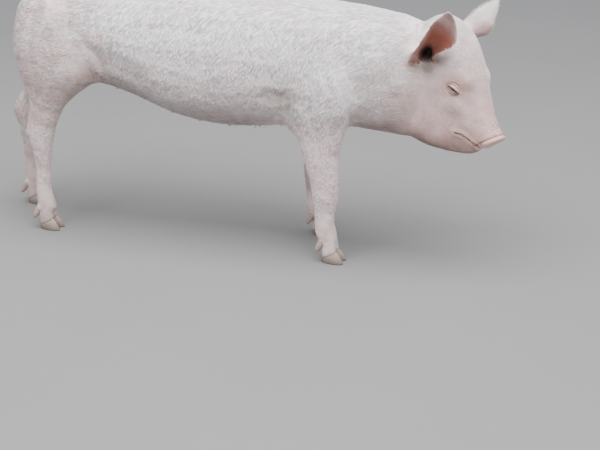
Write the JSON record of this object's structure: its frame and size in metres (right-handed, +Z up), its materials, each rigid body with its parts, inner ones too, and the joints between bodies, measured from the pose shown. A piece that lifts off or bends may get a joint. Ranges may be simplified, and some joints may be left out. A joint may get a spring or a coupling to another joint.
{
  "type": "young domestic farm pig figure",
  "caption": "Life-size young white farm pig standing with lowered, turned head, pricked ears, slit eyes, cloven hooves and curled tail.",
  "frame": {"origin": "middle of the bounding box on the floor that the pig stands on", "axes": "+X from tail to snout along the body, +Y to the pig's left, +Z up"},
  "size_m": [1.0254, 0.2266, 0.5189],
  "materials": {
    "skin": "pale pinkish white hide with short white bristles",
    "bare_snout": "bare pink skin, slightly moist",
    "horn": "dull greyish brown horn",
    "eye": "wet dark brown"
  },
  "bodies": {
    "root": {"torso": "skin", "neck": "skin", "head": "skin", "snout_disc": "bare_snout", "ear_right": "skin", "ear_left": "skin", "eye_right": "eye", "eye_left": "eye", "tail": "skin", "leg_front_right": "skin", "leg_front_left": "skin", "leg_hind_right": "skin", "leg_hind_left": "skin", "claw_front_right_right": "horn", "dewclaw_front_right_right": "horn", "claw_front_right_left": "horn", "dewclaw_front_right_left": "horn", "claw_front_left_right": "horn", "dewclaw_front_left_right": "horn", "claw_front_left_left": "horn", "dewclaw_front_left_left": "horn", "claw_hind_right_right": "horn", "dewclaw_hind_right_right": "horn", "claw_hind_right_left": "horn", "dewclaw_hind_right_left": "horn", "claw_hind_left_right": "horn", "dewclaw_hind_left_right": "horn", "claw_hind_left_left": "horn", "dewclaw_hind_left_left": "horn"}
  },
  "joints": []
}
